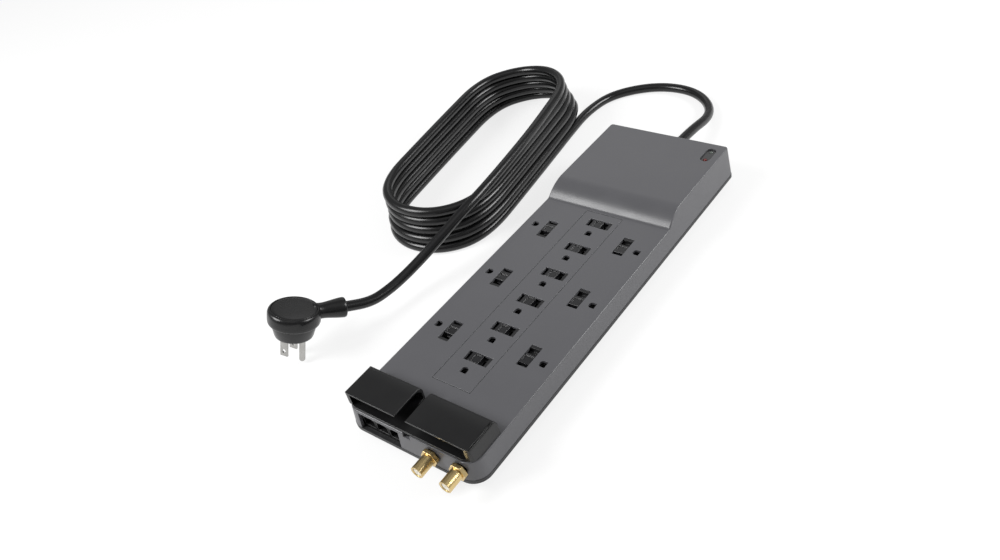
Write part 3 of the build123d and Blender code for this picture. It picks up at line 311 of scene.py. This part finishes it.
# Cord bushing: a soft black PVC sleeve moulded on the cord, ribbed so that it bends evenly, 24 mm long.
bushing_profile = [(0.0043, -0.008), (0.0074, -0.008), (0.0074, -0.0055), (0.0062, -0.0052)]
bushing_profile += [(0.0062, 0.0002), (0.0075, 0.0004), (0.0077, 0.0008), (0.0077, 0.002), (0.0073, 0.0025)]
for rib in range(5):
    wide = 0.0068 - 0.00028 * rib
    at = 0.0028 + 0.0026 * rib
    bushing_profile += [(wide - 0.0007, at), (wide - 0.0007, at + 0.0007), (wide - 0.0001, at + 0.0009)]
    bushing_profile += [(wide, at + 0.0013), (wide, at + 0.002), (wide - 0.0003, at + 0.0024)]
bushing_profile += [(0.0050, 0.0162), (0.0043, 0.0164)]
points, faces = lathe(bushing_profile, 48, (0, 0.1805, 0.019), (0, 1, 0), (1, 0, 0))
bushing = new_piece("cord_bushing", points, faces, jacket, "strip")
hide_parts("strain_relief")


SHARP_ANGLE = 28.0


def softened(node, name, width, material, body, fine=None, rim=None):
    """Copy of a CAD part with rounded edges: its loose triangles are merged, flat ones joined into one face,
    and every edge sharper than SHARP_ANGLE gets a bevel of the given width in millimetres. With fine, that
    width is only for edges whose middle passes the rim test, and other sharp edges get the fine width."""
    mesh = cad[node].data.copy()
    mesh.name = name
    mesh.materials.clear()
    mesh.materials.append(material)
    work = bmesh.new()
    work.from_mesh(mesh)
    bmesh.ops.remove_doubles(work, verts=work.verts, dist=2e-6)
    bmesh.ops.dissolve_limit(work, angle_limit=math.radians(0.6), verts=work.verts, edges=work.edges)
    work.to_mesh(mesh)
    sharp = np.array([edge.calc_face_angle(0.0) for edge in work.edges]) > math.radians(SHARP_ANGLE)
    work.free()
    if mesh.attributes.get("custom_normal"):
        mesh.attributes.remove(mesh.attributes["custom_normal"])
    mesh.polygons.foreach_set("use_smooth", [True] * len(mesh.polygons))
    piece = bpy.data.objects.new(name, mesh)
    scene.collection.objects.link(piece)
    bevel = piece.modifiers.new("rounded_edges", "BEVEL")
    bevel.width = width / 1000
    bevel.segments = 2
    bevel.harden_normals = True
    bevel.limit_method = "ANGLE"
    bevel.angle_limit = math.radians(SHARP_ANGLE)
    if fine:
        place = np.empty(len(mesh.vertices) * 3)
        mesh.vertices.foreach_get("co", place)
        ends = np.empty(len(mesh.edges) * 2, int)
        mesh.edges.foreach_get("vertices", ends)
        middle = place.reshape(-1, 3)[ends.reshape(-1, 2)].mean(1)
        weight = sharp * np.where(rim(*middle.T), 1.0, fine / width)
        mesh.attributes.new("bevel_weight_edge", "FLOAT", "EDGE").data.foreach_set("value", weight)
        bevel.limit_method = "WEIGHT"
        bevel.use_clamp_overlap = False
    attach(piece, body)
    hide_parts(node)


# Housing: one injection-moulded ABS shell, deck and raised end together, in a satin dark grey. The mould
# was lightly textured, so it has a very fine grain and a soft sheen, and a small radius on its outer edges.
grey_abs = moulded("satin_grey_abs", "#555558", 0.34, 1.53, 0.55, 0.008, shade=0.03)
softened(
    "top_cover",
    "housing_shell",
    0.9,
    grey_abs,
    "strip",
    fine=0.12,
    rim=lambda x, y, z: (z > 0.0265) & ((abs(x) > 0.0505) | (abs(y) > 0.1755)),
)
softened("outlet_panel", "centre_panel", 0.22, grey_abs, "strip")

# Base: a black ABS pan screwed on from below, its rim showing as a dark line round the foot of the housing.
black_abs = moulded("textured_black_abs", "#1d1d1f", 0.48, 1.53, 0.7, 0.020, shade=0.08)
softened("base_pan", "black_base", 0.4, black_abs, "strip")

# Feet: four soft black rubber discs, moulded and pressed into shallow seats.
foot_rubber = moulded("moulded_black_rubber", "#161616", 0.72, 1.52, 1.1, 0.03, shade=0.12)
softened("rubber_feet", "feet", 0.5, foot_rubber, "strip")

# Shutters: sliding black acetal covers behind every outlet window, each with a dished grip and two lips.
shutter_acetal = moulded("black_acetal", "#1a1a1c", 0.26, 1.50, 1.2, 0.003, shade=0.06)
for number in range(1, 13):
    node = f"outlet_shutter_{number:02d}"
    softened(node, f"shutter_{number:02d}", 0.3, shutter_acetal, node)

# Outlet blocks: black thermoset mouldings under the deck, with the blade slots and ground bores.
block_moulding = moulded("black_socket_thermoset", "#141416", 0.45, 1.55, 0.8, 0.015, shade=0.10)
for side in ("center", "left", "right"):
    block = f"socket_block_{side}"
    softened(block, f"{block}_body", 0.2, block_moulding, "strip")

# Cord organiser: a satin black ABS clip over the front of the deck, two open hoods with a gap between them.
clip_abs = moulded("satin_black_abs", "#101011", 0.38, 1.47, 1.2, 0.003, shade=0.05)
softened(
    "cord_clip",
    "cord_organiser",
    0.7,
    clip_abs,
    "strip",
    fine=0.25,
    rim=lambda x, y, z: (z > 0.0395) & (y > -0.170),
)


def metal(name, code, roughness, scratch, wear=0.25):
    """Bare or plated metal: its own colour and full metallic, with fine drawn or turned scratches of the
    given spacing in millimetres and a slow tarnish that dulls it in places."""
    material = bpy.data.materials.new(name)
    material.use_nodes = True
    tree = material.node_tree
    shader = tree.nodes["Principled BSDF"]
    where = add_node(tree, "ShaderNodeTexCoord").outputs["Object"]
    fine = add_node(tree, "ShaderNodeTexNoise", {"Vector": where, "Scale": 1000 / scratch, "Detail": 2.0})
    slow = add_node(tree, "ShaderNodeTexNoise", {"Vector": where, "Scale": 260.0, "Detail": 3.0})
    tone = add_node(
        tree,
        "ShaderNodeMapRange",
        {"Value": slow.outputs["Fac"], "From Min": 0.3, "From Max": 0.7, "To Min": 1 - wear, "To Max": 1.0},
    )
    base = add_node(
        tree,
        "ShaderNodeVectorMath",
        {0: linear(code)[:3], 1: tone.outputs[0]},
        operation="MULTIPLY",
    )
    tree.links.new(base.outputs[0], shader.inputs["Base Color"])
    spread = {"From Min": 0.3, "From Max": 0.7, "To Min": roughness + 0.08, "To Max": roughness}
    rough = add_node(tree, "ShaderNodeMapRange", {"Value": slow.outputs["Fac"], **spread})
    tree.links.new(rough.outputs[0], shader.inputs["Roughness"])
    scratches = {"Height": fine.outputs["Fac"], "Strength": 0.6, "Distance": 0.000008}
    bump = add_node(tree, "ShaderNodeBump", scratches)
    tree.links.new(bump.outputs[0], shader.inputs["Normal"])
    shader.inputs["Metallic"].default_value = 1.0
    return material


# Screws: zinc-plated steel, cross recess, driven up through the base into the cover's bosses.
zinc = metal("zinc_plated_steel", "#a9adb2", 0.32, 0.4)
softened("cover_screws", "base_screws", 0.15, zinc, "strip")

# Phone jacks: three black nylon modular jacks side by side in one opening, with sprung gilt wires inside.
jack_nylon = moulded("black_nylon", "#0f0f10", 0.40, 1.50, 0.6, 0.006, shade=0.08)
for number in (1, 2, 3):
    softened(f"phone_jack_{number}", f"phone_jack_{number}_body", 0.25, jack_nylon, "strip")
gilt = metal("gold_plated_brass", "#d9c08a", 0.24, 2.0, wear=0.05)
softened("jack_contacts", "jack_wires", 0.06, gilt, "strip")

# Coaxial sockets: turned brass barrels, gold plated, held through the wall by a hex nut. The rolled thread
# is drawn only 0.04 mm deep, so that a barrel reads as a ribbed tube.
COAX_X = (0.0215, 0.045)
COAX_Z = 0.021
TIP_Y = -0.1955
THREAD_PITCH = 0.00079
THREAD_DEPTH = 0.00004
BARREL_RADIUS = 0.0047
BARREL_SIDES = 64
barrel_lip = [(0.0033, 0.0006), (0.0033, 0.0002), (0.0035, 0.0), (0.0044, 0.0), (0.00462, 0.0001)]
barrel_tail = [(0.00445, 0.0121), (0.00445, 0.0265), (0.0033, 0.0265), (0.0033, 0.0006)]


def barrel_rings(x, radius, depth):
    """Rings round the barrel's axis at x: each point stands radius from the axis and depth behind the tip."""
    angle = np.linspace(0, 2 * math.pi, BARREL_SIDES, endpoint=False)
    back = np.broadcast_to(TIP_Y + depth, radius.shape)
    return np.stack([x + radius * np.cos(angle), back, COAX_Z + radius * np.sin(angle)], -1)


for number, x in enumerate(COAX_X, start=1):
    angle = np.linspace(0, 2 * math.pi, BARREL_SIDES, endpoint=False)
    depth = 0.0120 * np.linspace(0, 1, 150)[:, None]
    turn = depth / THREAD_PITCH + angle[None] / (2 * math.pi)
    ridge = np.abs((turn % 1.0) - 0.5) * 2
    fade = np.clip((depth - 0.0022) / 0.0008, 0, 1) * np.clip((0.0105 - depth) / 0.0006, 0, 1)
    thread = barrel_rings(x, BARREL_RADIUS - THREAD_DEPTH * fade * ridge, depth)
    ends = [
        barrel_rings(x, np.repeat(ring[:, :1], BARREL_SIDES, 1), ring[:, 1:])
        for ring in (np.array(barrel_lip), np.array(barrel_tail))
    ]
    grid = np.concatenate([ends[0], thread, ends[1]])
    i, j = np.meshgrid(np.arange(len(grid) - 1), np.arange(BARREL_SIDES), indexing="ij")
    k = (j + 1) % BARREL_SIDES
    near, far = i * BARREL_SIDES, (i + 1) * BARREL_SIDES
    faces = np.stack([near + j, near + k, far + k, far + j], -1).reshape(-1, 4)
    barrel = new_piece(f"coax_barrel_{number}", grid.reshape(-1, 3), faces, gilt, "strip")
    if number == 1:
        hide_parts("coax_ports")
softened("coax_nuts", "coax_hex_nuts", 0.35, gilt, "strip")
ptfe = moulded("white_ptfe", "#e9e4d6", 0.45, 1.36, 0.5, 0.006, shade=0.04)
softened("coax_insulators", "coax_dielectrics", 0.2, ptfe, "strip")

# Status window: a smoked clear insert in the raised end with two small domed lamps standing in it.
def clear_plastic(name, code, roughness, ior, glow_code=None, glow=0.0):
    """Clear moulded plastic, tinted, with a slight waviness from the mould."""
    material = bpy.data.materials.new(name)
    material.use_nodes = True
    tree = material.node_tree
    shader = tree.nodes["Principled BSDF"]
    where = add_node(tree, "ShaderNodeTexCoord").outputs["Object"]
    wave = add_node(tree, "ShaderNodeTexNoise", {"Vector": where, "Scale": 700.0, "Detail": 2.0})
    tint = add_node(
        tree,
        "ShaderNodeMapRange",
        {"Value": wave.outputs["Fac"], "From Min": 0.3, "From Max": 0.7, "To Min": 0.85, "To Max": 1.0},
    )
    base = add_node(
        tree,
        "ShaderNodeVectorMath",
        {0: linear(code)[:3], 1: tint.outputs[0]},
        operation="MULTIPLY",
    )
    tree.links.new(base.outputs[0], shader.inputs["Base Color"])
    ripple = {"Height": wave.outputs["Fac"], "Strength": 0.3, "Distance": 0.00001}
    bump = add_node(tree, "ShaderNodeBump", ripple)
    tree.links.new(bump.outputs[0], shader.inputs["Normal"])
    shader.inputs["Roughness"].default_value = roughness
    shader.inputs["IOR"].default_value = ior
    shader.inputs["Transmission Weight"].default_value = 0.6
    if glow_code:
        shader.inputs["Emission Color"].default_value = linear(glow_code)
        shader.inputs["Emission Strength"].default_value = glow
    return material


smoked = moulded("smoked_polycarbonate", "#222224", 0.16, 1.58, 1.2, 0.004, shade=0.05)
softened("status_window", "status_window_insert", 0.25, smoked, "strip")
red_epoxy = clear_plastic("red_epoxy", "#7a1714", 0.12, 1.55, "#ff2010", 0.03)
clear_epoxy = clear_plastic("water_clear_epoxy", "#9aa39c", 0.12, 1.55)
for node, material in (("ground_led", red_epoxy), ("protected_led", clear_epoxy)):
    cad[node].data.materials.clear()
    cad[node].data.materials.append(material)

# Reset button: red-brown thermoplastic stem through the rear wall, on the breaker behind it.
button_red = moulded("moulded_red_plastic", "#8e2320", 0.36, 1.50, 0.6, 0.010, shade=0.06)
softened("reset_button", "reset_button_cap", 0.4, button_red, "reset_button")

# Plug: soft black PVC overmoulded on the contacts. The low round head has a rolled shoulder and an inset cap,
# and its boot flares round the cord. The prong carrier below is a separate cone that turns under the head.
plug_pvc = moulded("overmoulded_black_pvc", "#0d0d0e", 0.27, 1.47, 2.0, 0.002, shade=0.05)
PLUG_AT = np.array([-0.1486, -0.1426, 0.0244])
plug_axis = np.array([0.109, 0.343, 0.933])
plug_axis /= np.linalg.norm(plug_axis)
boot_way = np.array([0.404, 0.842, -0.357])
boot_way -= plug_axis * np.dot(boot_way, plug_axis)
boot_way /= np.linalg.norm(boot_way)
prong_turn = math.radians(50)
prong_way = boot_way * math.cos(prong_turn) - np.cross(plug_axis, boot_way) * math.sin(prong_turn)
head_profile = [(0.0122, 0.0116), (0.0188, 0.0116), (0.0196, 0.0120), (0.0200, 0.0130)]
head_profile += [(0.0201, 0.0150), (0.0201, 0.0185), (0.0200, 0.0200), (0.0197, 0.0211)]
head_profile += [(0.0192, 0.0220), (0.0185, 0.0226), (0.0178, 0.0229), (0.0175, 0.02285)]
head_profile += [(0.0174, 0.0226), (0.0174, 0.0218), (0.0122, 0.0218), (0.0122, 0.0116)]
points, faces = lathe(head_profile, 96, PLUG_AT, plug_axis, boot_way)
head = new_piece("plug_head_shell", points, faces, plug_pvc, "strip")
boot_profile = [(0.0043, 0.0400), (0.0070, 0.0400), (0.0077, 0.0397), (0.0080, 0.0389)]
boot_profile += [(0.0080, 0.0375), (0.0078, 0.0350), (0.0073, 0.0310), (0.0067, 0.0270)]
boot_profile += [(0.0063, 0.0235), (0.0062, 0.0210), (0.0064, 0.0190), (0.0068, 0.0150), (0.0, 0.0150)]
points, faces = lathe(boot_profile, 64, PLUG_AT + plug_axis * 0.0170, boot_way, plug_axis)
boot = new_piece("plug_boot", points, faces, plug_pvc, "strip")
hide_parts("plug_head")
cap_profile = [(0.0, 0.0230), (0.008, 0.0230), (0.0145, 0.02295), (0.0166, 0.0228)]
cap_profile += [(0.0171, 0.0226), (0.0173, 0.0222), (0.0173, 0.0215), (0.0, 0.0215)]
points, faces = lathe(cap_profile, 96, PLUG_AT, plug_axis, boot_way)
cap = new_piece("plug_cap_disc", points, faces, plug_pvc, "strip")
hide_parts("plug_cap")
cone_profile = [(0.0, 0.0), (0.0138, 0.0), (0.0146, 0.0003), (0.0150, 0.0012), (0.0163, 0.0062)]
cone_profile += [(0.0177, 0.0104), (0.0178, 0.0111), (0.0172, 0.0113), (0.0118, 0.0113)]
cone_profile += [(0.0118, 0.0126), (0.0, 0.0126)]
points, faces = lathe(cone_profile, 96, PLUG_AT, plug_axis, prong_way)
cone = new_piece("plug_prong_carrier", points, faces, plug_pvc, "plug_prongs")
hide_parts("plug_base")
nickel = metal("nickel_plated_brass", "#b4b3b0", 0.24, 0.45, wear=0.10)
softened("plug_blades", "flat_blades", 0.45, nickel, "plug_prongs")
softened("plug_ground_pin", "round_ground_pin", 0.2, nickel, "plug_prongs")

# Inside the housing and the plug: contacts, boards and their components, seen only through the openings.
brass = metal("spring_brass", "#b58a45", 0.35, 0.5)
board = moulded("green_epoxy_board", "#1f5a33", 0.35, 1.55, 1.0, 0.01, shade=0.1)
varistor = moulded("blue_epoxy_coating", "#2a4f86", 0.35, 1.55, 1.0, 0.02, shade=0.1)
component = moulded("black_component_epoxy", "#1a1a1a", 0.45, 1.55, 0.8, 0.02, shade=0.1)
winding = metal("enamelled_copper", "#a3532a", 0.30, 0.6)
film = moulded("yellow_film_wrap", "#c9a227", 0.35, 1.50, 0.8, 0.01, shade=0.08)
insulation = moulded("pvc_wire_insulation", "#3a3a3c", 0.40, 1.53, 0.8, 0.01, shade=0.1)
inner = {
    "neutral_contacts": brass,
    "line_contacts": brass,
    "ground_contacts": brass,
    "plug_contact_rings": brass,
    "surge_board": board,
    "phone_board": board,
    "varistors": varistor,
    "thermal_fuse": component,
    "circuit_breaker": component,
    "filter_choke": winding,
    "filter_capacitor": film,
    "internal_wires": insulation,
}
for node, material in inner.items():
    cad[node].data.materials.clear()
    cad[node].data.materials.append(material)
